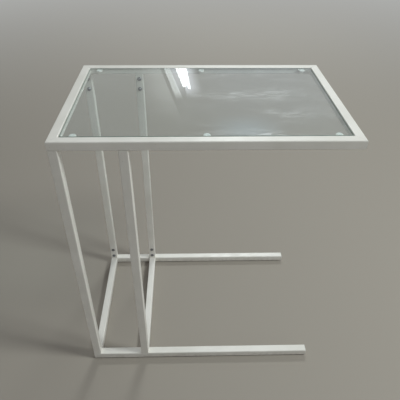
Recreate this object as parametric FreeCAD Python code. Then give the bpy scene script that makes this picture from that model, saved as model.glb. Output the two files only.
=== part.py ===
import FreeCAD
import Part
import math
import os

# C-shaped side table for a sofa or bed. A square-tube top frame and a square-tube base are joined
# at one end by two pairs of posts. Each post slips over a welded spigot at both ends and is held
# there by two button-head screws in its inner face. A glass top lies in the top frame on six lugs,
# each with a soft pad, and lifts straight out.
#
# Units are millimetres. +Z is up, +X runs from the posts to the open end of the C and +Y runs from
# the front to the rear. The origin is on the floor, under the middle of the top.

# --- Driving dimensions ---------------------------------------------------------------------------

# Overall
table_length = 550.0            # along X, over the top frame
table_depth = 350.0             # along Y, over the top frame and over the base
table_height = 650.0            # floor to the top of the frame
base_setback = 4.0              # how far the base stops short of the top frame's open end
post_spacing = 121.0            # outer post to inner post, centre to centre

# Square tube of the frame, base and posts
tube_size = 18.0
tube_wall = 1.2
tube_corner_radius = 2.0

# Spigots that the posts slip over
spigot_wall = 3.0
spigot_clearance = 0.2          # on each side, between the spigot and the post's bore
spigot_end_margin = 11.0        # last screw to the spigot's free end

# Button-head screws, two at each end of a post
screw_end_distance = 12.0       # post's end to the first screw
screw_pitch = 25.0              # first screw to the second
screw_diameter = 5.0
screw_length = 8.0              # under the head
screw_tip_chamfer = 0.5
thread_clearance = 0.05         # radial, between the screw and the spigot's tapped hole
screw_hole_clearance = 0.25     # radial, between the screw and the post's hole
head_diameter = 9.5
head_height = 2.75
head_rim_height = 0.5
head_flat_diameter = 4.6
socket_width = 3.0              # across the flats
socket_depth = 1.6

# Glass top
glass_thickness = 4.0
glass_recess = 0.5              # glass face below the frame's top
glass_gap = 1.5                 # on each side, between the glass and the frame
glass_corner_radius = 3.0
glass_arris = 0.5               # seamed edge, top and bottom

# Lugs that carry the glass, spread evenly along each long side
lugs_per_side = 3
lug_end_distance = 41.0         # table's end to the middle of the nearest lug
lug_width = 13.0
lug_reach = 16.0
lug_thickness = 2.0

# Soft pads, pushed through the lugs
pad_diameter = 9.6
pad_height = 1.0                # between the lug and the glass
pad_rim_width = 1.1
pad_dimple_depth = 0.5
pad_neck_diameter = 4.4
pad_neck_clearance = 0.15       # radial, between the neck and the lug's hole
pad_bulb_diameter = 6.4
pad_bulb_tip_diameter = 3.0
pad_bulb_length = 2.8

# Plugs in the runners' free ends
cap_flange = 2.0
cap_edge_radius = 1.4
cap_plug_length = 14.0
cap_plug_wall = 1.5
cap_clearance = 0.15            # on each side, between the plug and the runner's bore

# Glides under the runners
glide_height = 2.0
glide_diameter = 13.0
glide_edge_chamfer = 0.5
glide_end_distance = 40.0       # base's end to the middle of the nearest glide
glide_stem_diameter = 6.0
glide_stem_length = 6.0
glide_stem_clearance = 0.1      # radial, between the stem and the runner's hole

# --- Places worked out from them ------------------------------------------------------------------

# In plan
half_length = table_length / 2
half_depth = table_depth / 2
half_tube = tube_size / 2
rail_y = half_depth - half_tube                 # middle of every post, long rail and runner
inner_face_y = half_depth - tube_size           # their faces towards the table's middle
base_end_x = half_length - base_setback
runner_end_x = base_end_x - cap_flange
outer_post_x = -half_length + half_tube
inner_post_x = outer_post_x + post_spacing

# In height
runner_bottom = glide_height
runner_top = runner_bottom + tube_size
frame_bottom = table_height - tube_size
glass_top_height = table_height - glass_recess
glass_bottom_height = glass_top_height - glass_thickness
lug_top_height = glass_bottom_height - pad_height
lug_bottom_height = lug_top_height - lug_thickness

# Fits
bore_size = tube_size - 2 * tube_wall
bore_corner_radius = max(tube_corner_radius - tube_wall, 0.1 * tube_corner_radius)
spigot_size = bore_size - 2 * spigot_clearance
spigot_length = screw_end_distance + screw_pitch + spigot_end_margin
lug_hole_distance = lug_reach - lug_width / 2   # rail's inner face to the middle of the lug's hole

screw_distances = (screw_end_distance, screw_end_distance + screw_pitch)
lower_screw_heights = [runner_top + distance for distance in screw_distances]
upper_screw_heights = [frame_bottom - distance for distance in screw_distances]

# Places along X, by name, and the sign of Y on each side
POST_ROWS = {"outer": outer_post_x, "inner": inner_post_x}
GLIDE_PLACES = {"outer": -half_length + glide_end_distance, "open": base_end_x - glide_end_distance}
SIDES = {"front": -1, "rear": 1}


# --- Shapes used more than once -------------------------------------------------------------------

def point(x, y, z):
    return FreeCAD.Vector(x, y, z)


UP = point(0, 0, 1)


def upright_edges(shape):
    return [e for e in shape.Edges if abs(e.tangentAt(e.FirstParameter).z) > 0.99]


def square_bar(size, corner_radius, length):
    """An upright square bar with round corners, standing on the origin."""
    bar = Part.makeBox(size, size, length, point(-size / 2, -size / 2, 0))
    return bar.makeFillet(corner_radius, upright_edges(bar))


def frame_tube(start, end):
    """A length of the frame's square tube from start to end, along one axis."""
    run = end - start
    tube = square_bar(tube_size, tube_corner_radius, run.Length)
    tube = tube.cut(square_bar(bore_size, bore_corner_radius, run.Length))
    tube.Placement = FreeCAD.Placement(start, FreeCAD.Rotation(UP, run))
    return tube


def mitred(tube, side_x, side_y, away):
    """Cuts a level tube off along the mitre of the table's corner at those signs of X and Y.

    away points along the tube, off the end that is cut.
    """
    outer = point(side_x * half_length, side_y * half_depth, 0)
    inner = outer - point(side_x * tube_size, side_y * tube_size, 0)
    past_outer = outer * 2 - inner
    past_inner = inner * 2 - outer
    far = outer + away * (3 * tube_size)
    waste = Part.Face(Part.makePolygon([past_outer, past_inner, far, past_outer]))
    return tube.cut(waste.extrude(UP * (2 * table_height)))


def turned(corners, closing_edges=()):
    """A solid of revolution about Z through (radius, height) corners and any closing edges."""
    points = [point(radius, 0, height) for radius, height in corners]
    edges = [Part.LineSegment(a, b).toShape() for a, b in zip(points, points[1:])]
    return Part.Face(Part.Wire(edges + list(closing_edges))).revolve(point(0, 0, 0), UP, 360)


# --- Top frame ------------------------------------------------------------------------------------

def long_top_rail(side_y):
    """The front or rear rail of the top frame, mitred at both ends."""
    y = side_y * rail_y
    height = frame_bottom + half_tube
    rail = frame_tube(point(-half_length, y, height), point(half_length, y, height))
    for side_x in (-1, 1):
        rail = mitred(rail, side_x, side_y, point(side_x, 0, 0))
    return rail


def end_rail(side_x, bottom):
    """A full-depth rail at one end of the table, mitred at both ends."""
    x = side_x * (half_length - half_tube)
    height = bottom + half_tube
    rail = frame_tube(point(x, -half_depth, height), point(x, half_depth, height))
    for side_y in (-1, 1):
        rail = mitred(rail, side_x, side_y, point(0, side_y, 0))
    return rail


def lug(x, side_y):
    """A flat lug with a round end and the pad's hole, on a long rail's inner face."""
    face_y = side_y * inner_face_y
    hole_y = face_y - side_y * lug_hole_distance
    left = x - lug_width / 2
    right = x + lug_width / 2
    tip = point(x, face_y - side_y * lug_reach, 0)
    outline = Part.Wire([
        Part.LineSegment(point(left, face_y, 0), point(right, face_y, 0)).toShape(),
        Part.LineSegment(point(right, face_y, 0), point(right, hole_y, 0)).toShape(),
        Part.Arc(point(right, hole_y, 0), tip, point(left, hole_y, 0)).toShape(),
        Part.LineSegment(point(left, hole_y, 0), point(left, face_y, 0)).toShape(),
    ])
    plate = Part.Face(outline).extrude(UP * lug_thickness)
    hole_radius = pad_neck_diameter / 2 + pad_neck_clearance
    plate = plate.cut(Part.makeCylinder(hole_radius, lug_thickness, point(x, hole_y, 0)))
    plate.translate(UP * lug_bottom_height)
    return plate


def pad(x, side_y):
    """A soft pad: a shallow cup on the lug, a neck through its hole and a bulb that holds it."""
    neck_radius = pad_neck_diameter / 2
    head_radius = pad_diameter / 2
    bulb_tip = -lug_thickness - pad_bulb_length
    shape = turned([
        (0, bulb_tip),
        (pad_bulb_tip_diameter / 2, bulb_tip),
        (pad_bulb_diameter / 2, -lug_thickness),
        (neck_radius, -lug_thickness),
        (neck_radius, 0),
        (head_radius, 0),
        (head_radius, pad_height),
        (head_radius - pad_rim_width, pad_height),
        (0, pad_height - pad_dimple_depth),
        (0, bulb_tip),
    ])
    shape.translate(point(x, side_y * (inner_face_y - lug_hole_distance), lug_top_height))
    return shape


def glass_top():
    """The glass pane, with round corners and seamed edges."""
    length = table_length - 2 * (tube_size + glass_gap)
    depth = table_depth - 2 * (tube_size + glass_gap)
    pane = Part.makeBox(length, depth, glass_thickness, point(-length / 2, -depth / 2, 0))
    pane = pane.makeFillet(glass_corner_radius, upright_edges(pane))
    level_edges = [e for e in pane.Edges if e.BoundBox.ZLength < glass_arris]
    pane = pane.makeChamfer(glass_arris, level_edges)
    pane.translate(UP * glass_bottom_height)
    return pane


# --- Posts and their joints -----------------------------------------------------------------------

def with_screw_holes(tube, x, side_y, heights, radius):
    """Drills a post's or spigot's inner wall for screws at those heights."""
    for height in heights:
        middle = point(x, side_y * rail_y, height)
        tube = tube.cut(Part.makeCylinder(radius, tube_size, middle, point(0, -side_y, 0)))
    return tube


def post(x, side_y):
    """An upright tube from the base to the top frame, with screw holes at both ends."""
    y = side_y * rail_y
    tube = frame_tube(point(x, y, runner_top), point(x, y, frame_bottom))
    radius = screw_diameter / 2 + screw_hole_clearance
    return with_screw_holes(tube, x, side_y, lower_screw_heights + upper_screw_heights, radius)


def spigot(x, side_y, bottom, screw_heights):
    """A short thick tube, welded to the frame or base, that a post slips over and screws into."""
    bore = spigot_size - 2 * spigot_wall
    tube = square_bar(spigot_size, bore_corner_radius, spigot_length)
    tube = tube.cut(Part.makeBox(bore, bore, spigot_length, point(-bore / 2, -bore / 2, 0)))
    tube.translate(point(x, side_y * rail_y, bottom))
    return with_screw_holes(tube, x, side_y, screw_heights, screw_diameter / 2 + thread_clearance)


def head_dome():
    """The spherical arc of a screw's head, from its rim to its flat, centred on the screw's axis."""
    rim = point(head_diameter / 2, 0, head_rim_height)
    flat = point(head_flat_diameter / 2, 0, head_height)
    rise = head_height - head_rim_height
    centre_height = (flat.x ** 2 + flat.z ** 2 - rim.x ** 2 - rim.z ** 2) / (2 * rise)
    centre = point(0, 0, centre_height)
    radius = (rim - centre).Length
    middle = centre + ((rim - centre) + (flat - centre)).normalize() * radius
    return Part.Arc(rim, middle, flat).toShape()


def socket():
    """The hexagon socket that is sunk in a screw's head."""
    radius = socket_width / math.sqrt(3)
    angles = [math.radians(60 * k) for k in range(7)]
    corners = [point(radius * math.cos(a), radius * math.sin(a), head_height) for a in angles]
    return Part.Face(Part.makePolygon(corners)).extrude(UP * -socket_depth)


def screw(x, side_y, height):
    """A button-head socket screw whose head bears on the post's inner face."""
    radius = screw_diameter / 2
    outline = [
        (head_flat_diameter / 2, head_height),
        (0, head_height),
        (0, -screw_length),
        (radius - screw_tip_chamfer, -screw_length),
        (radius, -screw_length + screw_tip_chamfer),
        (radius, 0),
        (head_diameter / 2, 0),
        (head_diameter / 2, head_rim_height),
    ]
    shape = turned(outline, [head_dome()]).cut(socket())
    seat = point(x, side_y * inner_face_y, height)
    shape.Placement = FreeCAD.Placement(seat, FreeCAD.Rotation(UP, point(0, -side_y, 0)))
    return shape


def screws(x, side_y, heights):
    return Part.makeCompound([screw(x, side_y, height) for height in heights])


# --- Base -----------------------------------------------------------------------------------------

def runner(side_y):
    """A floor runner, mitred at the outer crossbar, with its glides' holes."""
    y = side_y * rail_y
    height = runner_bottom + half_tube
    tube = frame_tube(point(-half_length, y, height), point(runner_end_x, y, height))
    tube = mitred(tube, -1, side_y, point(-1, 0, 0))
    hole_radius = glide_stem_diameter / 2 + glide_stem_clearance
    for x in GLIDE_PLACES.values():
        tube = tube.cut(Part.makeCylinder(hole_radius, half_tube, point(x, y, runner_bottom)))
    return tube


def inner_crossbar():
    """The crossbar between the runners, in line with the inner posts."""
    x = inner_post_x
    height = runner_bottom + half_tube
    return frame_tube(point(x, -inner_face_y, height), point(x, inner_face_y, height))


def runner_cap(side_y):
    """A hollow plug with an eased flange that closes a runner's free end."""
    plug_size = bore_size - 2 * cap_clearance
    hollow = plug_size - 2 * cap_plug_wall
    hollow_length = cap_plug_length - cap_plug_wall
    flange = square_bar(tube_size, tube_corner_radius, cap_flange)
    face_edges = [e for e in flange.Edges if e.BoundBox.ZMin > cap_flange / 2]
    flange = flange.makeFillet(cap_edge_radius, face_edges)
    plug = square_bar(plug_size, bore_corner_radius, cap_plug_length)
    plug = plug.cut(Part.makeBox(hollow, hollow, hollow_length, point(-hollow / 2, -hollow / 2, 0)))
    plug.translate(UP * -cap_plug_length)
    cap = flange.fuse(plug)
    seat = point(runner_end_x, side_y * rail_y, runner_bottom + half_tube)
    cap.Placement = FreeCAD.Placement(seat, FreeCAD.Rotation(UP, point(1, 0, 0)))
    return cap


def glide(x, side_y):
    """A round glide under a runner, with a stem pushed up through the runner's wall."""
    radius = glide_diameter / 2
    stem_radius = glide_stem_diameter / 2
    stem_top = glide_height + glide_stem_length
    shape = turned([
        (0, 0),
        (radius - glide_edge_chamfer, 0),
        (radius, glide_edge_chamfer),
        (radius, glide_height),
        (stem_radius, glide_height),
        (stem_radius, stem_top),
        (0, stem_top),
        (0, 0),
    ])
    shape.translate(point(x, side_y * rail_y, 0))
    return shape


# --- The table ------------------------------------------------------------------------------------

def lug_places():
    """X of each lug along a long rail, evenly spaced between the two end lugs."""
    first = -half_length + lug_end_distance
    step = (table_length - 2 * lug_end_distance) / (lugs_per_side - 1)
    return [first + step * k for k in range(lugs_per_side)]


def post_nodes(side, row):
    """A post with its two spigots and its two pairs of screws."""
    x = POST_ROWS[row]
    side_y = SIDES[side]
    upper_spigot_bottom = frame_bottom - spigot_length
    return {
        f"post_{side}_{row}": post(x, side_y),
        f"lower_spigot_{side}_{row}": spigot(x, side_y, runner_top, lower_screw_heights),
        f"upper_spigot_{side}_{row}": spigot(x, side_y, upper_spigot_bottom, upper_screw_heights),
        f"lower_screws_{side}_{row}": screws(x, side_y, lower_screw_heights),
        f"upper_screws_{side}_{row}": screws(x, side_y, upper_screw_heights),
    }


def side_nodes(side):
    """What stands once on the front side and once on the rear side."""
    side_y = SIDES[side]
    nodes = {
        f"top_rail_{side}": long_top_rail(side_y),
        f"base_runner_{side}": runner(side_y),
        f"runner_cap_{side}": runner_cap(side_y),
    }
    for number, x in enumerate(lug_places(), start=1):
        nodes[f"glass_lug_{side}_{number}"] = lug(x, side_y)
        nodes[f"glass_pad_{side}_{number}"] = pad(x, side_y)
    for place, x in GLIDE_PLACES.items():
        nodes[f"floor_glide_{side}_{place}"] = glide(x, side_y)
    for row in POST_ROWS:
        nodes.update(post_nodes(side, row))
    return nodes


def table_nodes():
    """Every sub-part of the table, by name."""
    nodes = {
        "top_rail_outer": end_rail(-1, frame_bottom),
        "top_rail_open": end_rail(1, frame_bottom),
        "base_crossbar_outer": end_rail(-1, runner_bottom),
        "base_crossbar_inner": inner_crossbar(),
        "glass_top": glass_top(),
    }
    for side in SIDES:
        nodes.update(side_nodes(side))
    return nodes


os.makedirs("parts", exist_ok=True)
for name, shape in table_nodes().items():
    shape.exportStep(f"parts/{name}.step")
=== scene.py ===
from math import degrees, radians

import bmesh
import bpy
import numpy as np
from mathutils import Matrix, Vector


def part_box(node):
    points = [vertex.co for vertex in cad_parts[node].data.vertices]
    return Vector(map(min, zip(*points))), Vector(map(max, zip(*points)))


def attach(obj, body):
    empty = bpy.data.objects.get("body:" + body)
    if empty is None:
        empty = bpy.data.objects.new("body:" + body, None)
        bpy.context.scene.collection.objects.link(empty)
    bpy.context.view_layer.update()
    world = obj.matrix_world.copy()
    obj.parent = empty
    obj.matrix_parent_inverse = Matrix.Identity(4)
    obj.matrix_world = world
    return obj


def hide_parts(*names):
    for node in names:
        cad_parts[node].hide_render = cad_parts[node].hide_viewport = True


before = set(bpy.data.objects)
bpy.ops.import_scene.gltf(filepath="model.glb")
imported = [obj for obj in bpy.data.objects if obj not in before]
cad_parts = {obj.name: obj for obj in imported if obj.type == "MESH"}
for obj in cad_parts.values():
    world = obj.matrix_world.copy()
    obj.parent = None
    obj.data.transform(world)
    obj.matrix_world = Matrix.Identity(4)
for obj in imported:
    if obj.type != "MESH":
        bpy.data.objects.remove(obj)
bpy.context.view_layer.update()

# C-shaped side table: a white powder-coated square-tube frame with a clear glass top. The tubes,
# runner caps, glides and spigots keep their CAD shapes and get their finishes here. The glass pane
# is made again so that its ground edge has a finish of its own, and the lugs, pads and screws so
# that their edges and domes are smoother. The weld beads are added.
#
# Units are metres. +Z is up, +X runs from the posts to the open end, +Y from the front to the rear.

MM = 0.001
FRAME_BODY = "table_frame"
GLASS_BODY = "glass"
SIDES = {"front": -1, "rear": 1}
ROWS = ("outer", "inner")
LUG_NUMBERS = (1, 2, 3)

# --- Camera ---------------------------------------------------------------------------------------

PICTURE_SIDE = 400                       # pixels, the picture is square
CAMERA_PLACE = Vector((-0.0396, -0.7902, 1.0190))
CAMERA_TILT = 53.611                     # degrees up from straight down
CAMERA_ROLL = -0.430                     # degrees
CAMERA_TURN = -1.295                     # degrees about the upright axis
LENS_PIXELS = 422.5                      # focal length, in pixels of the picture
AXIS_PIXEL = (194.35, 181.88)            # where the lens axis meets the picture, from its top left
SENSOR_WIDTH = 36.0                      # millimetres
CLIP_START = 0.05
CLIP_END = 100.0


def make_camera():
    """The camera at its measured place, with the small shift that puts the lens axis off centre."""
    data = bpy.data.cameras.new("camera")
    data.sensor_width = SENSOR_WIDTH
    data.lens = LENS_PIXELS * SENSOR_WIDTH / PICTURE_SIDE
    data.shift_x = 0.5 - AXIS_PIXEL[0] / PICTURE_SIDE
    data.shift_y = AXIS_PIXEL[1] / PICTURE_SIDE - 0.5
    data.clip_start = CLIP_START
    data.clip_end = CLIP_END
    camera = bpy.data.objects.new("camera", data)
    camera.location = CAMERA_PLACE
    camera.rotation_euler = [radians(a) for a in (CAMERA_TILT, CAMERA_ROLL, CAMERA_TURN)]
    bpy.context.scene.collection.objects.link(camera)
    bpy.context.scene.camera = camera


make_camera()

# --- Nodes and colours ----------------------------------------------------------------------------


def colour(text):
    """An sRGB hex colour as the linear RGBA that sockets take, by the sRGB standard's own curve."""
    srgb = np.array([int(text[k:k + 2], 16) for k in (1, 3, 5)]) / 255
    linear = np.where(srgb <= 0.04045, srgb / 12.92, ((srgb + 0.055) / 1.055) ** 2.4)
    return (*linear, 1.0)


def repeats(millimetres):
    """The texture scale at which one repeat is this long on Object coordinates."""
    return 1000 / millimetres


def add(tree, kind, inputs=None, output=0, **settings):
    """Adds a node with its settings, feeds its inputs, and returns one of its outputs."""
    made = tree.nodes.new("ShaderNode" + kind)
    for name, value in settings.items():
        setattr(made, name, value)
    for key, value in (inputs or {}).items():
        socket = made.inputs[key]
        if isinstance(value, bpy.types.NodeSocket):
            tree.links.new(value, socket)
        else:
            socket.default_value = value
    return made.outputs[output]


def new_material(name):
    """An empty material and its tree."""
    material = bpy.data.materials.new(name)
    material.use_nodes = True
    material.node_tree.nodes.clear()
    return material, material.node_tree


# where a Mix node keeps its colour sockets, because other types share their names
MIX_RGBA = {"factor": 0, "a": 6, "b": 7, "output": 2}


def blended(tree, factor, first, second):
    """The first colour where factor is 0 and the second where it is 1."""
    inputs = {MIX_RGBA["factor"]: factor, MIX_RGBA["a"]: first, MIX_RGBA["b"]: second}
    return add(tree, "Mix", inputs, MIX_RGBA["output"], data_type="RGBA")


def shader_mix(tree, factor, first, second):
    """The first shader where factor is 0 and the second where it is 1."""
    return add(tree, "MixShader", {0: factor, 1: first, 2: second})


def graded(tree, value, low, high, at_low=0.0, at_high=1.0):
    """at_low where value is low or less, at_high where it is high or more, smooth in between."""
    inputs = {"Value": value, "From Min": low, "From Max": high, "To Min": at_low, "To Max": at_high}
    return add(tree, "MapRange", inputs, interpolation_type="SMOOTHSTEP")


def calculated(tree, operation, *values):
    """The result of a Math node on those values."""
    return add(tree, "Math", dict(enumerate(values)), operation=operation)


def add_output(tree, surface):
    """Ends a tree with that surface."""
    output = tree.nodes.new("ShaderNodeOutputMaterial")
    tree.links.new(surface, output.inputs["Surface"])


# --- Finishes -------------------------------------------------------------------------------------

# texture scales that draw marks out along an axis, to about 16 times their width
STRETCH_ALONG = {"x": (0.06, 1, 1), "y": (1, 0.06, 1), "z": (1, 1, 0.06)}
MITRE_OFFSET = 100 * MM                  # the mitres lie where |x| - |y| is this
MITRE_SEAM = (0.15 * MM, 0.7 * MM)       # half width of the seam's floor, and of the whole seam
OPEN_HALF = (-10 * MM, 10 * MM)          # past this x the base has no mitres
LOWER_HALF = (300 * MM, 310 * MM)        # below this z is the base
CORNER_ZONE = (140 * MM, 150 * MM)       # past this |y| are the corners


def mitre_seam(tree, place):
    """0 at the middle of the ground weld across each mitred corner of the two frames, rising
    smoothly to 1 beside it, by the distance of |x| - |y| from its value on the mitres."""
    x, y, z = (add(tree, "SeparateXYZ", {"Vector": place}, axis) for axis in "XYZ")
    out_x = calculated(tree, "ABSOLUTE", x)
    out_y = calculated(tree, "ABSOLUTE", y)
    past = calculated(tree, "SUBTRACT", out_x, out_y)
    from_mitre = calculated(tree, "SUBTRACT", past, MITRE_OFFSET)
    away = graded(tree, calculated(tree, "ABSOLUTE", from_mitre), *MITRE_SEAM)
    in_base = graded(tree, z, *LOWER_HALF, 1.0, 0.0)
    open_base = calculated(tree, "MULTIPLY", graded(tree, x, *OPEN_HALF), in_base)
    off_corners = graded(tree, out_y, *CORNER_ZONE, 1.0, 0.0)
    unmitred = calculated(tree, "MAXIMUM", open_base, off_corners)
    return calculated(tree, "MAXIMUM", away, unmitred)


DUST_HEIGHTS = (4 * MM, 22 * MM)         # between them the floor dust thins out to nothing
SEAM_RELIEF = 1.5                        # depth of the mitre seams, in depths of the orange peel


def white_powder_coat(run):
    """Semi-gloss white polyester powder coat, baked on steel tube that runs along that axis.

    It gives a soft sheen with a faint orange peel, a slightly uneven thickness, thin grey rub
    marks along the tube, a few dark specks, a little floor dust low down and the faint line of
    the ground weld at each mitre.
    """
    material, tree = new_material(f"white_powder_coat_{run}")
    place = add(tree, "TexCoord", output="Object")
    along = add(tree, "Mapping", {"Vector": place, "Scale": STRETCH_ALONG[run]})

    seam = mitre_seam(tree, place)
    thickness = add(tree, "TexNoise", {"Vector": place, "Scale": repeats(70), "Detail": 2.0})
    rubs = add(tree, "TexNoise", {"Vector": along, "Scale": repeats(1.4), "Detail": 3.0})
    rub_patches = add(tree, "TexNoise", {"Vector": place, "Scale": repeats(30), "Detail": 1.0})
    specks = add(tree, "TexVoronoi", {"Vector": place, "Scale": repeats(16)}, "Distance")
    dust = add(tree, "TexNoise", {"Vector": place, "Scale": repeats(12), "Detail": 3.0})
    height = add(tree, "SeparateXYZ", {"Vector": place}, "Z")

    base = blended(tree, graded(tree, thickness, 0.3, 0.7), colour("#E7E4DD"), colour("#EFECE6"))
    rubbed = calculated(tree, "MULTIPLY", graded(tree, rubs, 0.62, 0.74),
                        graded(tree, rub_patches, 0.52, 0.66, 0.0, 0.3))
    base = blended(tree, rubbed, base, colour("#B9B8B2"))
    base = blended(tree, graded(tree, specks, 0.022, 0.04, 0.5, 0.0), base, colour("#77736B"))
    low_down = graded(tree, height, *DUST_HEIGHTS, 1.0, 0.0)
    dusty = calculated(tree, "MULTIPLY", low_down, graded(tree, dust, 0.35, 0.7, 0.05, 0.32))
    base = blended(tree, dusty, base, colour("#A9A398"))
    base = blended(tree, graded(tree, seam, 0, 1, 0.22, 0.0), base, colour("#8F8C85"))

    # orange peel waves are 1 to 3 mm long; these are the longest of them, so that they show
    peel = add(tree, "TexNoise", {"Vector": place, "Scale": repeats(3), "Detail": 1.0})
    relief = calculated(tree, "MULTIPLY_ADD", seam, SEAM_RELIEF, peel)
    bump = add(tree, "Bump", {"Height": relief, "Strength": 0.5, "Distance": 0.1 * MM})
    shader = add(tree, "BsdfPrincipled", {
        "Base Color": base,
        "Roughness": graded(tree, rub_patches, 0.35, 0.65, 0.34, 0.44),
        "IOR": 1.5,
        "Normal": bump,
    })
    add_output(tree, shader)
    return material


def lets_lamp_light_through(tree, clear, tint):
    """A clear shader that lamp light crosses straight, a little tinted, instead of being bent."""
    straight_through = add(tree, "BsdfTransparent", {"Color": colour(tint)})
    path = tree.nodes.new("ShaderNodeLightPath")
    carries_light = calculated(tree, "MAXIMUM", path.outputs["Is Shadow Ray"],
                               path.outputs["Is Diffuse Ray"])
    return shader_mix(tree, carries_light, clear, straight_through)


HANDLED_ZONE = (-80 * MM, 160 * MM)      # x between which the smears grow to their full strength


def clear_glass():
    """Clear tempered float glass, 4 mm.

    It mirrors the lamps and shows what is behind it almost unchanged. Wiped smears catch the
    light, most of them towards the open end, where hands reach it. Lamp light passes it straight.
    """
    material, tree = new_material("clear_tempered_glass")
    place = add(tree, "TexCoord", output="Object")
    wiped = add(tree, "Mapping", {"Vector": place, "Scale": (0.4, 1, 1),
                                  "Rotation": (0, 0, radians(8))})
    smears = add(tree, "TexNoise", {"Vector": wiped, "Scale": repeats(60), "Detail": 3.0,
                                    "Distortion": 0.5})
    brushed = add(tree, "Mapping", {"Vector": place, "Scale": (0.22, 1, 1),
                                    "Rotation": (0, 0, radians(-6))})
    streaks = add(tree, "TexNoise", {"Vector": brushed, "Scale": repeats(7), "Detail": 2.0,
                                     "Distortion": 0.8})
    streaked = calculated(tree, "MULTIPLY", graded(tree, smears, 0.40, 0.62, 0.0, 0.48),
                          graded(tree, streaks, 0.44, 0.66, 0.1, 1.4))
    towards_open_end = add(tree, "SeparateXYZ", {"Vector": place}, "X")
    handled = graded(tree, towards_open_end, *HANDLED_ZONE, 0.3, 1.0)
    streaked = calculated(tree, "MULTIPLY", streaked, handled)
    glass = add(tree, "BsdfPrincipled", {
        "Base Color": colour("#F1F8F8"),
        "Transmission Weight": 1.0,
        "Roughness": 0.0,
        "IOR": 1.52,
        "Coat Weight": streaked,
        "Coat Roughness": 0.32,
        "Coat IOR": 1.7,
    })
    add_output(tree, lets_lamp_light_through(tree, glass, "#F9FCFC"))
    return material


def ground_glass_edge():
    """The glass pane's edge, ground with a fine belt.

    It is frosted and shows the glass's own grey green, a little cloudy along its length.
    """
    material, tree = new_material("ground_glass_edge")
    place = add(tree, "TexCoord", output="Object")
    cloud = add(tree, "TexNoise", {"Vector": place, "Scale": repeats(6), "Detail": 3.0})
    # belt marks are about 0.1 mm apart; they are drawn 0.5 mm apart so that they show
    marks = add(tree, "TexNoise", {"Vector": place, "Scale": repeats(0.5), "Detail": 1.0})
    bump = add(tree, "Bump", {"Height": marks, "Strength": 0.4, "Distance": 0.03 * MM})
    add_output(tree, add(tree, "BsdfPrincipled", {
        "Base Color": blended(tree, cloud, colour("#74857D"), colour("#97A69F")),
        "Roughness": graded(tree, cloud, 0.3, 0.7, 0.35, 0.5),
        "IOR": 1.52,
        "Normal": bump,
    }))
    return material


def clear_soft_pad():
    """Clear soft vinyl, moulded.

    It shows as a milky drop with a soft, faintly dusty shine.
    """
    material, tree = new_material("clear_soft_vinyl")
    place = add(tree, "TexCoord", output="Object")
    cloud = add(tree, "TexNoise", {"Vector": place, "Scale": repeats(4), "Detail": 2.0})
    vinyl = add(tree, "BsdfPrincipled", {
        "Base Color": blended(tree, cloud, colour("#FDFCF8"), colour("#F8F7F2")),
        "Transmission Weight": 0.05,
        "Roughness": graded(tree, cloud, 0.3, 0.7, 0.05, 0.12),
        "IOR": 1.5,
    })
    add_output(tree, lets_lamp_light_through(tree, vinyl, "#FAFAF9"))
    return material


def moulded_polyethylene(name, pale, dark):
    """Polyethylene, moulded against a finely spark-eroded tool.

    It gives a waxy, slightly dull surface with a fine even grain and light scuffs.
    """
    material, tree = new_material(name)
    place = add(tree, "TexCoord", output="Object")
    # the tool's grain is about 0.1 mm; it is drawn at 0.6 mm so that it shows
    grain = add(tree, "TexNoise", {"Vector": place, "Scale": repeats(0.6), "Detail": 2.0})
    scuffs = add(tree, "TexNoise", {"Vector": place, "Scale": repeats(7), "Detail": 4.0})
    bump = add(tree, "Bump", {"Height": grain, "Strength": 0.3, "Distance": 0.05 * MM})
    add_output(tree, add(tree, "BsdfPrincipled", {
        "Base Color": blended(tree, graded(tree, scuffs, 0.4, 0.75), colour(pale), colour(dark)),
        "Roughness": graded(tree, scuffs, 0.35, 0.7, 0.45, 0.6),
        "IOR": 1.52,
        "Subsurface Weight": 0.15,
        "Subsurface Radius": (2 * MM, 2 * MM, 1.6 * MM),
        "Subsurface Scale": 1.0,
        "Normal": bump,
    }))
    return material


POST_INNER_Y = 157 * MM                  # |y| of the posts' inner faces, which the heads sit on
HEAD_HEIGHT = 2.75 * MM
SOCKET_SHADE = (0.55 * MM, 1.15 * MM)    # depths under the head's top over which painted shade sets in


def dull_zinc_plate():
    """Zinc plate on a cold-headed steel screw, gone dull.

    It gives a mid grey metal with cloudy patches, painted shade in the socket and at the head's
    foot.
    """
    material, tree = new_material("dull_zinc_plate")
    place = add(tree, "TexCoord", output="Object")
    clouds = add(tree, "TexNoise", {"Vector": place, "Scale": repeats(2.5), "Detail": 3.0})
    from_middle = calculated(tree, "ABSOLUTE", add(tree, "SeparateXYZ", {"Vector": place}, "Y"))
    head_top = POST_INNER_Y - HEAD_HEIGHT
    # painted shade: darker the deeper a point lies below the head's top, in the socket and round the
    # head's foot
    painted_socket_shade = graded(tree, from_middle, *(head_top + depth for depth in SOCKET_SHADE))
    metal = blended(tree, clouds, colour("#828487"), colour("#9C9EA0"))
    add_output(tree, add(tree, "BsdfPrincipled", {
        # the dark grey is the painted shade's colour
        "Base Color": blended(tree, painted_socket_shade, metal, colour("#505155")),
        "Metallic": 1.0,
        "Roughness": graded(tree, clouds, 0.3, 0.7, 0.28, 0.45),
    }))
    return material


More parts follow.
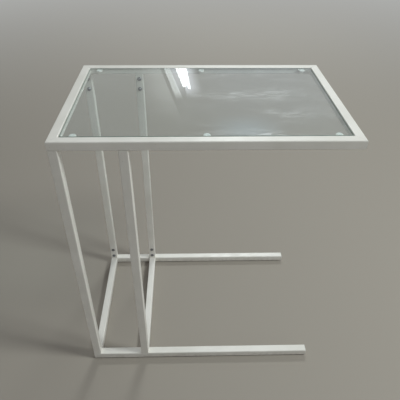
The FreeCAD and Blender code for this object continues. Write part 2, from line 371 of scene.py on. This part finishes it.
def bare_mild_steel():
    """Cold-drawn mild steel, bare inside the posts.

    It gives a grey metal with drawing lines and a faint brown bloom.
    """
    material, tree = new_material("bare_mild_steel")
    place = add(tree, "TexCoord", output="Object")
    along = add(tree, "Mapping", {"Vector": place, "Scale": STRETCH_ALONG["z"]})
    lines = add(tree, "TexNoise", {"Vector": along, "Scale": repeats(0.8), "Detail": 2.0})
    bloom = add(tree, "TexNoise", {"Vector": place, "Scale": repeats(9), "Detail": 4.0})
    add_output(tree, add(tree, "BsdfPrincipled", {
        "Base Color": blended(tree, graded(tree, bloom, 0.5, 0.75), colour("#9A9896"),
                              colour("#7E6A5A")),
        "Metallic": 1.0,
        "Roughness": graded(tree, lines, 0.3, 0.7, 0.3, 0.5),
    }))
    return material


POWDER_COATS = {run: white_powder_coat(run) for run in STRETCH_ALONG}
FINISHES = {
    "clear_glass": clear_glass(),
    "ground_edge": ground_glass_edge(),
    "clear_soft_pad": clear_soft_pad(),
    "white_plastic": moulded_polyethylene("white_polyethylene", "#E4E4E0", "#D2D1CC"),
    "glide_plastic": moulded_polyethylene("grey_polyethylene", "#8E8E8C", "#6F6E6B"),
    "zinc_plated_steel": dull_zinc_plate(),
    "bare_steel": bare_mild_steel(),
}


def run_of(name):
    """The axis along which that CAD node is longest."""
    low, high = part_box(name)
    return max(zip(high - low, "xyz"))[1]


def finish_frame_nodes():
    """Gives every CAD node its detailed finish, the powder coat by the way its tube runs."""
    for name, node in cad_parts.items():
        for holder in node.material_slots:
            slot = holder.material.name
            holder.material = FINISHES.get(slot) or POWDER_COATS[run_of(name)]


finish_frame_nodes()

# --- New pieces: surfaces over grids of points ----------------------------------------------------

SHARP_ANGLE = radians(32)                # edges that turn more than this look crisp
MERGE_DISTANCE = 0.0001 * MM


def ring_faces(rows, columns, first, wrap):
    """Quads between neighbouring rings of a grid, numbered from its first point.

    Point (i, j) is joined to (i, j + 1), (i + 1, j + 1) and (i + 1, j), with j counted round, and
    with i counted round too if wrap is True.
    """
    i, j = np.meshgrid(np.arange(rows if wrap else rows - 1), np.arange(columns), indexing="ij")
    here, below = i * columns, (i + 1) % rows * columns
    right = (j + 1) % columns
    corners = np.stack([here + j, here + right, below + right, below + j], -1)
    return first + corners.reshape(-1, 4)


def piece(name, grids, material, wrap=False, replaced=(), body=FRAME_BODY):
    """A shown piece of a body, made of closed surfaces, one for each grid of rings of points.

    Rings that shrink to a point are merged into a pole, and the faces are turned outwards.
    """
    points = np.concatenate([grid.reshape(-1, 3) for grid in grids])
    starts = np.cumsum([0] + [grid.shape[0] * grid.shape[1] for grid in grids])
    faces = [ring_faces(*grid.shape[:2], first, wrap) for grid, first in zip(grids, starts)]
    mesh = bpy.data.meshes.new(name)
    mesh.from_pydata(points, [], np.concatenate(faces))
    shape = bmesh.new()
    shape.from_mesh(mesh)
    bmesh.ops.remove_doubles(shape, verts=shape.verts, dist=MERGE_DISTANCE)
    bmesh.ops.recalc_face_normals(shape, faces=shape.faces)
    shape.to_mesh(mesh)
    shape.free()
    mesh.shade_smooth()
    mesh.set_sharp_from_angle(angle=SHARP_ANGLE)
    mesh.materials.append(material)
    made = bpy.data.objects.new(name, mesh)
    bpy.context.scene.collection.objects.link(made)
    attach(made, body)
    if replaced:
        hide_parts(*replaced)
    return made


def arc(centre, radius, start, end, count):
    """Points (a, b) on a circle's arc, from the start angle to the end angle in degrees."""
    angles = np.radians(np.linspace(start, end, count))
    return np.stack([centre[0] + radius * np.cos(angles), centre[1] + radius * np.sin(angles)], 1)


def turned(profile, columns):
    """A surface of revolution about Z: each (radius, height) of the profile becomes a circle."""
    angles = np.linspace(0, 2 * np.pi, columns, endpoint=False)
    radius, height = np.asarray(profile).T[..., None]
    return np.stack([radius * np.cos(angles), radius * np.sin(angles), height + 0 * angles], -1)


# --- Glass pane -----------------------------------------------------------------------------------

PANE_CORNER = 3.0 * MM
PANE_ARRIS = 0.5 * MM                    # the edge that the belt takes off, top and bottom
PANE_CORNER_POINTS = 9
FLAT_NORMAL = 0.99                       # a face whose normal has more than this along Z is flat


def round_rectangle(half_x, half_y, radius):
    """Points round a rectangle whose corners are quarter circles."""
    corners = [(1, 1, 0), (-1, 1, 90), (-1, -1, 180), (1, -1, 270)]
    return np.concatenate([
        arc((a * (half_x - radius), b * (half_y - radius)), radius, start, start + 90,
            PANE_CORNER_POINTS)
        for a, b, start in corners])


def pane_grid(box):
    """A flat pane: its outline drawn in by the arris at both faces, which close at the middle."""
    low, high = box
    half_x, half_y = (high.x - low.x) / 2, (high.y - low.y) / 2
    full = round_rectangle(half_x, half_y, PANE_CORNER)
    drawn_in = round_rectangle(half_x - PANE_ARRIS, half_y - PANE_ARRIS, PANE_CORNER - PANE_ARRIS)
    rings = [(0 * full, low.z), (drawn_in, low.z), (full, low.z + PANE_ARRIS),
             (full, high.z - PANE_ARRIS), (drawn_in, high.z), (0 * full, high.z)]
    middle = np.array([(low.x + high.x) / 2, (low.y + high.y) / 2])
    return np.stack([np.column_stack([ring + middle, np.full(len(ring), z)]) for ring, z in rings])


def make_pane():
    """The glass pane, with its clear faces and its ground edge."""
    pane = piece("glass_pane", [pane_grid(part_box("glass_top"))], FINISHES["clear_glass"],
                 replaced=["glass_top"], body=GLASS_BODY)
    mesh = pane.data
    mesh.materials.append(FINISHES["ground_edge"])
    normals = np.empty(3 * len(mesh.polygons), np.float32)
    mesh.polygons.foreach_get("normal", normals)
    at_edge = (abs(normals[2::3]) < FLAT_NORMAL).astype(np.int32)
    mesh.polygons.foreach_set("material_index", at_edge)


# --- Lugs, pads and their welds -------------------------------------------------------------------

LUG_TOP_ROUND = 0.5 * MM                 # the edge that the punch rolled over
LUG_BOTTOM_EASE = 0.15 * MM
LUG_HOLE_RADIUS = 2.35 * MM
LUG_HOLE_EASE = 0.2 * MM
LUG_TIP_POINTS = 33
LUG_SIDE_POINTS = 5
LUG_ROOT_POINTS = 11
LUG_ROUND_POINTS = 7


def lug_outline(radius, root):
    """Points round a D: a half circle about the hole, two straight sides and the root on the rail.

    The tip points to -b and the root lies at b = root.
    """
    tip = arc((0, 0), radius, 0, -180, LUG_TIP_POINTS)
    side = np.linspace(0, root, LUG_SIDE_POINTS + 1)[1:]
    across = np.linspace(-radius, radius, LUG_ROOT_POINTS + 2)[1:-1]
    return np.concatenate([
        tip,
        np.stack([-radius + 0 * side, side], 1),
        np.stack([across, root + 0 * across], 1),
        np.stack([radius + 0 * side, side[::-1]], 1),
    ])


def lug_grid(box, side_y):
    """A flat lug with a hole: the loop of its wall's section, carried round the D.

    A ring of the section lies on the hole's circle or on the outline, drawn in by the rounding of
    that edge; the top edge's rounding is a quarter circle.
    """
    low, high = box
    radius = (high.x - low.x) / 2
    root = (high.y - low.y) - radius
    thick = high.z - low.z
    outer = lug_outline(radius, root)
    direction = outer / np.linalg.norm(outer, axis=1)[:, None]

    def hole(widened, height):
        return direction * (LUG_HOLE_RADIUS + widened), height

    def edge(inset, height):
        return lug_outline(radius - inset, root), height

    inset_and_drop = LUG_TOP_ROUND * (1 - arc((0, 0), 1, 90, 0, LUG_ROUND_POINTS))
    rings = [hole(0, LUG_HOLE_EASE), hole(0, thick - LUG_HOLE_EASE), hole(LUG_HOLE_EASE, thick)]
    rings += [edge(inset, thick - drop) for inset, drop in inset_and_drop]
    rings += [edge(0, LUG_BOTTOM_EASE), edge(LUG_BOTTOM_EASE, 0), hole(LUG_HOLE_EASE, 0)]
    flat = np.stack([ring for ring, _ in rings])
    heights = np.array([height for _, height in rings])[:, None] + np.zeros(len(outer))
    root_y = side_y * max(abs(low.y), abs(high.y))
    middle_x = (low.x + high.x) / 2
    return np.stack([middle_x + flat[..., 0] * side_y,
                     root_y + (flat[..., 1] - root) * side_y,
                     low.z + heights], -1)


PAD_LIP_ROUND = 0.35 * MM
PAD_RIM = 1.1 * MM
PAD_DIMPLE = 0.5 * MM
PAD_NECK_RADIUS = 2.2 * MM
PAD_BULB_RADIUS = 3.2 * MM
PAD_BULB_TIP_RADIUS = 1.5 * MM
PAD_BULB_TAPER = 1.6                     # 1 for a cone, more for a fuller bulb
PAD_SHRINK = 0.02 * MM                   # keeps its faces off the lug's and the glass's
PAD_CURVE_POINTS = 9
PAD_LIP_POINTS = 6
PAD_COLUMNS = 40


def pad_grid(box, lug_box, side_y):
    """A soft bumper: its half section, from the dimple's middle round the lip, down the neck and
    over the bulb, turned about its axis. The dimple is a shallow cosine bowl."""
    low, high = box
    top = high.z - PAD_SHRINK
    seat = lug_box[1].z + PAD_SHRINK
    under = lug_box[0].z - PAD_SHRINK
    radius = (high.x - low.x) / 2
    bowl_radius = radius - PAD_RIM
    across = np.linspace(0, 1, PAD_CURVE_POINTS)
    bowl = np.stack([bowl_radius * across, top - PAD_DIMPLE * (1 + np.cos(np.pi * across)) / 2], 1)
    lip_centre = (radius - PAD_LIP_ROUND, top - PAD_LIP_ROUND)
    lip = arc(lip_centre, PAD_LIP_ROUND, 90, 0, PAD_LIP_POINTS)
    down = np.linspace(0, 1, PAD_CURVE_POINTS)
    narrowing = (PAD_BULB_RADIUS - PAD_BULB_TIP_RADIUS) * down ** PAD_BULB_TAPER
    bulb = np.stack([PAD_BULB_RADIUS - narrowing, under + (low.z - under) * down], 1)
    profile = np.concatenate([
        bowl, lip,
        [(radius, seat), (PAD_NECK_RADIUS, seat), (PAD_NECK_RADIUS, under)],
        bulb, [(0, low.z)],
    ])
    centre = Vector(((low.x + high.x) / 2, (low.y + high.y) / 2, 0))
    return turned(profile, PAD_COLUMNS) + np.array(centre)


BEAD_RIPPLE = 1.7 * MM                   # spacing of a hand-laid bead's ripples
BEAD_RIPPLE_DEPTH = 0.07                 # share of its leg
BEAD_BULGE = 0.35                        # 0 for a flat face, 1 for a quarter circle
BEAD_ROOT = 0.2 * MM                     # how far its root sinks into the joint
BEAD_RIPPLE_STEPS = 6                    # sections to one ripple
BEAD_FACE_POINTS = 9


def bead_grid(corner, end, leg_a, leg_b, leg):
    """A fillet weld in the corner between two faces, from corner to end.

    A section's face is drawn in polar form about the corner, between a straight chord and a
    circle; its size falls off at both ends along a quarter circle and swells and shrinks with
    the ripples. leg_a and leg_b point along the two faces, away from the corner.
    """
    start, run = np.array(corner), np.array(end) - np.array(corner)
    length = np.linalg.norm(run)
    steps = int(length / (BEAD_RIPPLE / BEAD_RIPPLE_STEPS)) + 1
    along = np.linspace(0, length, steps)
    from_end = np.minimum(along, length - along).clip(0, leg)
    size = leg * np.sqrt(1 - (1 - from_end / leg) ** 2)
    size *= 1 + BEAD_RIPPLE_DEPTH * np.cos(2 * np.pi * along / BEAD_RIPPLE)
    turn = np.radians(np.linspace(0, 90, BEAD_FACE_POINTS))
    reach = BEAD_BULGE + (1 - BEAD_BULGE) / (np.cos(turn) + np.sin(turn))
    section = np.concatenate([
        np.stack([reach * np.cos(turn), reach * np.sin(turn)], 1),
        [(0, 0)],
    ])
    sunk = np.zeros_like(section)
    sunk[0] = (0, -BEAD_ROOT)
    sunk[-2] = (-BEAD_ROOT, 0)
    sunk[-1] = (-BEAD_ROOT, -BEAD_ROOT)
    taper = (size / leg).clip(0, 1)[:, None, None]
    flat = section * size[:, None, None] + sunk * taper
    legs = np.array([leg_a, leg_b])
    return start + run * (along / length)[:, None, None] + flat @ legs


WELD_INSET = 1.2 * MM                    # from a joint's end to the bead's end
LUG_WELD_LEG = 2.0 * MM
JOINT_WELD_LEG = 1.8 * MM
TUBE_CORNER = 2.0 * MM                   # radius of the tubes' corners


def make_lugs_and_pads():
    """The six lugs with a bead under each root, and the six pads in their holes."""
    for side, side_y in SIDES.items():
        for number in LUG_NUMBERS:
            lug_name, pad_name = f"glass_lug_{side}_{number}", f"glass_pad_{side}_{number}"
            lug_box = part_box(lug_name)
            low, high = lug_box
            piece(f"lug_{side}_{number}", [lug_grid(lug_box, side_y)], POWDER_COATS["x"],
                  wrap=True, replaced=[lug_name])
            piece(f"pad_{side}_{number}", [pad_grid(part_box(pad_name), lug_box, side_y)],
                  FINISHES["clear_soft_pad"], replaced=[pad_name])
            root_y = side_y * max(abs(low.y), abs(high.y))
            ends = [(x, root_y, low.z) for x in (low.x + WELD_INSET, high.x - WELD_INSET)]
            bead = bead_grid(*ends, (0, -side_y, 0), (0, 0, -1), LUG_WELD_LEG)
            piece(f"lug_weld_{side}_{number}", [bead], POWDER_COATS["x"])


def upright_bead(x, y, low_z, high_z, away_x, away_y):
    """A bead up an inner corner at (x, y), with its legs along X and Y."""
    inset = TUBE_CORNER
    return bead_grid((x, y, low_z + inset), (x, y, high_z - inset), (away_x, 0, 0), (0, away_y, 0),
                     JOINT_WELD_LEG)


def make_joint_welds():
    """Beads up the inner corners of the two mitred frames and up both sides of the crossbar."""
    low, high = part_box("top_rail_front")
    glass_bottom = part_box("glass_top")[0].z
    inner_y = -high.y
    inner_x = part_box("top_rail_open")[0].x
    bar_low, bar_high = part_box("base_crossbar_inner")
    end_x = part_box("base_crossbar_outer")[1].x
    for side, side_y in SIDES.items():
        y = side_y * inner_y
        away_y = -side_y
        top_corners = [upright_bead(x, y, low.z, glass_bottom, away_x, away_y)
                       for x, away_x in ((-inner_x, 1), (inner_x, -1))]
        piece(f"top_corner_welds_{side}", top_corners, POWDER_COATS["z"])
        base_corners = [upright_bead(x, y, bar_low.z, bar_high.z, away_x, away_y)
                        for x, away_x in ((end_x, 1), (bar_low.x, -1), (bar_high.x, 1))]
        piece(f"base_welds_{side}", base_corners, POWDER_COATS["z"])


# --- Screws ---------------------------------------------------------------------------------------

HEAD_RADIUS = 4.75 * MM
HEAD_RIM = 0.5 * MM
HEAD_FLAT_RADIUS = 2.3 * MM
HEAD_EDGE_EASE = 0.12 * MM
SOCKET_WIDTH = 3.0 * MM                  # across the flats
SOCKET_DEPTH = 1.6 * MM
SOCKET_LEAD_IN = 0.25 * MM
SHANK_RADIUS = 2.5 * MM
SHANK_LENGTH = 8.0 * MM
SHANK_TIP_CHAMFER = 0.5 * MM
HEAD_DOME_POINTS = 12
SCREW_COLUMNS = 60
SCREW_TURN_STEP = 37                     # degrees from one screw's socket to the next


def head_dome():
    """The domed part of the head's section: a circle's arc from the flat's edge to the rim."""
    flat, rim = (HEAD_FLAT_RADIUS, HEAD_HEIGHT), (HEAD_RADIUS, HEAD_RIM)
    centre = (flat[0] ** 2 + flat[1] ** 2 - rim[0] ** 2 - rim[1] ** 2) / (2 * (flat[1] - rim[1]))
    start, end = (degrees(np.arctan2(h - centre, r)) for r, h in (flat, rim))
    return arc((0, centre), np.hypot(flat[0], flat[1] - centre), start, end, HEAD_DOME_POINTS)


def screw_grid(seat, side_y, turn):
    """A button-head socket screw: its half section turned about its axis, with the socket's rings
    drawn out to a hexagon, whose radius at an angle t past a flat's middle is half its width over
    the cosine of t."""
    angles = np.linspace(0, 2 * np.pi, SCREW_COLUMNS, endpoint=False)
    hexagon = SOCKET_WIDTH / 2 / np.cos(np.mod(angles, np.pi / 3) - np.pi / 6)
    floor = HEAD_HEIGHT - SOCKET_DEPTH
    lead_in = HEAD_HEIGHT - SOCKET_LEAD_IN
    mouth = SOCKET_WIDTH / np.sqrt(3) + SOCKET_LEAD_IN / 2
    tip = -SHANK_LENGTH
    outside = np.concatenate([
        [(mouth, HEAD_HEIGHT)],
        head_dome(),
        [(HEAD_RADIUS, HEAD_EDGE_EASE), (HEAD_RADIUS - HEAD_EDGE_EASE, 0), (SHANK_RADIUS, 0),
         (SHANK_RADIUS, tip + SHANK_TIP_CHAMFER), (SHANK_RADIUS - SHANK_TIP_CHAMFER, tip), (0, tip)],
    ])
    radius = np.concatenate([[0 * hexagon, hexagon, hexagon],
                             outside[:, :1] + 0 * hexagon])
    height = np.concatenate([[floor, floor, lead_in], outside[:, 1]])[:, None] + 0 * hexagon
    round_axis = angles + radians(turn)
    across, upward = radius * np.cos(round_axis), radius * np.sin(round_axis)
    return np.stack([seat[0] + side_y * across, seat[1] - side_y * height, seat[2] + upward], -1)


def make_screws():
    """Sixteen screws, a pair at each end of a post, with their heads on the post's inner face."""
    count = 0
    for side, side_y in SIDES.items():
        for row in ROWS:
            seat_y = side_y * min(abs(corner.y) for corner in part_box(f"post_{side}_{row}"))
            for level in ("lower", "upper"):
                node = f"{level}_screws_{side}_{row}"
                low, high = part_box(node)
                x = (low.x + high.x) / 2
                grids = []
                for z in (low.z + HEAD_RADIUS, high.z - HEAD_RADIUS):
                    grids.append(screw_grid((x, seat_y, z), side_y, SCREW_TURN_STEP * count))
                    count += 1
                piece(f"{level}_screw_pair_{side}_{row}", grids, FINISHES["zinc_plated_steel"],
                      replaced=[node])


make_pane()
make_lugs_and_pads()
make_joint_welds()
make_screws()

# --- Lamps, floor and background ------------------------------------------------------------------

PALE_BACKGROUND = "#B0B1AF"
FLOOR_COLOUR = "#A49D94"
FLOOR_RADIUS = 24.0
FLOOR_FADE = (1.0, 5.0)                  # the floor turns into the background between these radii
FLOOR_POINTS = 128
AMBIENT = 0.245
AMBIENT_COLOUR = "#F4F6F8"
LAMP_COLOUR = "#F8FFFD"                  # cool white tubes behind a diffuser


def seen_rays(tree):
    """1 for rays from the camera, a mirror or glass, and 0 for rays that carry light."""
    path = tree.nodes.new("ShaderNodeLightPath")
    sight = path.outputs["Is Camera Ray"]
    for kind in ("Is Glossy Ray", "Is Transmission Ray"):
        sight = calculated(tree, "MAXIMUM", sight, path.outputs[kind])
    return sight


def make_background():
    """A pale background for what is seen, and a dim even light for everything else."""
    world = bpy.data.worlds.new("background")
    world.use_nodes = True
    tree = world.node_tree
    tree.nodes.clear()
    dim = add(tree, "Background", {"Color": colour(AMBIENT_COLOUR), "Strength": AMBIENT})
    pale = add(tree, "Background", {"Color": colour(PALE_BACKGROUND), "Strength": 1.0})
    surface = shader_mix(tree, seen_rays(tree), dim, pale)
    output = tree.nodes.new("ShaderNodeOutputWorld")
    tree.links.new(surface, output.inputs["Surface"])
    bpy.context.scene.world = world


def make_floor():
    """A plain matt floor: a disc that fades into the background far from the table."""
    angles = np.linspace(0, 2 * np.pi, FLOOR_POINTS, endpoint=False)
    rim = np.stack([np.cos(angles), np.sin(angles), 0 * angles], 1) * FLOOR_RADIUS
    mesh = bpy.data.meshes.new("floor")
    mesh.from_pydata(rim.tolist(), [], [list(range(len(rim)))])
    floor = bpy.data.objects.new("floor", mesh)
    bpy.context.scene.collection.objects.link(floor)

    material, tree = new_material("plain_matt_floor")
    place = add(tree, "TexCoord", output="Object")
    paint = add(tree, "BsdfPrincipled", {"Base Color": colour(FLOOR_COLOUR), "Roughness": 0.85,
                                         "Specular IOR Level": 0.2})
    distance = add(tree, "VectorMath", {0: place}, "Value", operation="LENGTH")
    fade = calculated(tree, "MULTIPLY", graded(tree, distance, *FLOOR_FADE), seen_rays(tree))
    far = add(tree, "Emission", {"Color": colour(PALE_BACKGROUND), "Strength": 1.0})
    add_output(tree, shader_mix(tree, fade, paint, far))
    mesh.materials.append(material)


def softbox(name, place, aim, size, brightness, fade, turn=0.0, tint=LAMP_COLOUR):
    """A rectangular lamp at a place, facing a point. Brightness is its middle's radiance. Fade
    gives how soft its left, right, near and far edges are, or None leaves them hard."""
    data = bpy.data.lights.new(name, "AREA")
    data.shape = "RECTANGLE"
    data.size, data.size_y = size
    data.energy = brightness * np.pi * size[0] * size[1]    # radiance times pi times area
    data.color = colour(tint)[:3]
    if fade:
        soften_edges(data, fade)
    lamp = bpy.data.objects.new(name, data)
    facing = (Vector(aim) - Vector(place)).to_track_quat("-Z", "Y").to_matrix().to_4x4()
    lamp.matrix_world = Matrix.Translation(place) @ facing @ Matrix.Rotation(radians(turn), 4, "Z")
    lamp.visible_transmission = False    # or it would show through the glass as a bright panel
    bpy.context.scene.collection.objects.link(lamp)
    return lamp


def soften_edges(lamp_data, fade):
    """Makes a lamp's surface rise smoothly from nothing at its left, right, near and far edges,
    each over that share of its width or length."""
    lamp_data.use_nodes = True
    tree = lamp_data.node_tree
    surface = add(tree, "NewGeometry", output="Parametric")
    strength = 1.0
    for axis, rise, fall in zip("XY", fade[0::2], fade[1::2]):
        along = add(tree, "SeparateXYZ", {"Vector": surface}, axis)
        for ramp in (graded(tree, along, 0, rise), graded(tree, along, 1 - fall, 1, 1.0, 0.0)):
            strength = calculated(tree, "MULTIPLY", ramp, strength)
    emission = tree.nodes["Emission"]
    tree.links.new(strength, emission.inputs["Strength"])


EVEN_FADE = (0.3, 0.3, 0.3, 0.3)
STUDIO_LAMPS = (
    # name, place, point that it faces, width and length, brightness, fades
    ("high_right_front", (1.65, -0.50, 2.15), (0, 0, 0.4), (0.63, 0.63), 53.0, EVEN_FADE),
    ("high_rear", (0.50, 2.75, 3.00), (0.50, 2.75, 0), (1.2, 0.8), 34.7, EVEN_FADE),
    ("low_left", (-2.50, -0.45, 0.30), (0, 0, 0.4), (0.8, 0.4), 4.0, None),
    ("low_right_front", (0.90, -1.10, 0.45), (0.3, -0.175, 0.63), (0.3, 0.3), 2.8, None),
)

CEILING_HEIGHT = 3.0
CEILING_STEP = 0.01                      # each hangs this much higher than the one before, because
                                         # a mirrored ray meets only one lamp at any one distance
CEILING_LAMPS = (
    # name, middle of its near end, width and length, brightness, turn, tint,
    # fades at its left, right, near and far edges
    ("tube_left", (-0.032, 5.39), (0.050, 2.0), 6.5, 9.1, LAMP_COLOUR, (0.02, 0.02, 0.01, 0.01)),
    ("tube_right", (0.044, 5.335), (0.044, 2.0), 6.5, 4.0, LAMP_COLOUR, (0.02, 0.02, 0.01, 0.01)),
    ("diffuser", (0.007, 5.48), (0.094, 2.0), 6.5, 7.3, LAMP_COLOUR, (0.1, 0.1, 0.01, 0.01)),
    ("reflector", (-0.095, 4.98), (0.115, 2.0), 2.1, 10.7, "#F2FBFA", (0.12, 0.12, 0.17, 0.01)),
    ("glow_left", (-0.04, 5.0), (0.14, 2.2), 1.5, 9.0, "#EEF4FF", (0.5, 0.02, 0.35, 0.01)),
    ("glow_right", (0.16, 5.05), (0.30, 2.2), 3.0, 5.0, "#EEF4FF", (0.01, 0.98, 0.25, 0.01)),
    ("left_panel", (-0.245, 4.02), (0.5, 3.0), 0.65, 11.3, LAMP_COLOUR, (0.98, 0.02, 0.5, 0.01)),
    ("right_panel", (1.3, 3.5), (3.4, 4.2), 0.3, 0.0, "#C4D3F8", (0.4, 0.4, 0.3, 0.3)),
    ("haze", (0.8, 3.5), (1.3, 1.2), 1.2, 0.0, "#AED6F0", (0.5, 0.5, 0.5, 0.5)),
)


def make_lamps():
    """A high softbox lights the table from its open end and another hangs behind it, facing down.
    Two weak low ones fill the shade on the left and in front. The lamps on the ceiling far behind
    the table are there to be mirrored in the glass: twin tubes with the diffuser between them, the
    reflector beside them, and panels that stand for the lit ceiling."""
    for lamp in STUDIO_LAMPS:
        softbox(*lamp)
    for level, (name, near_end, size, brightness, turn, tint, fade) in enumerate(CEILING_LAMPS):
        along = Vector((-np.sin(radians(turn)), np.cos(radians(turn)), 0)) * size[1] / 2
        place = Vector((*near_end, CEILING_HEIGHT + level * CEILING_STEP)) + along
        below = place - Vector((0, 0, 1))
        softbox(f"ceiling_{name}", place, below, size, brightness, fade, turn, tint)


make_background()
make_floor()
make_lamps()
bpy.context.scene.view_settings.view_transform = "Standard"
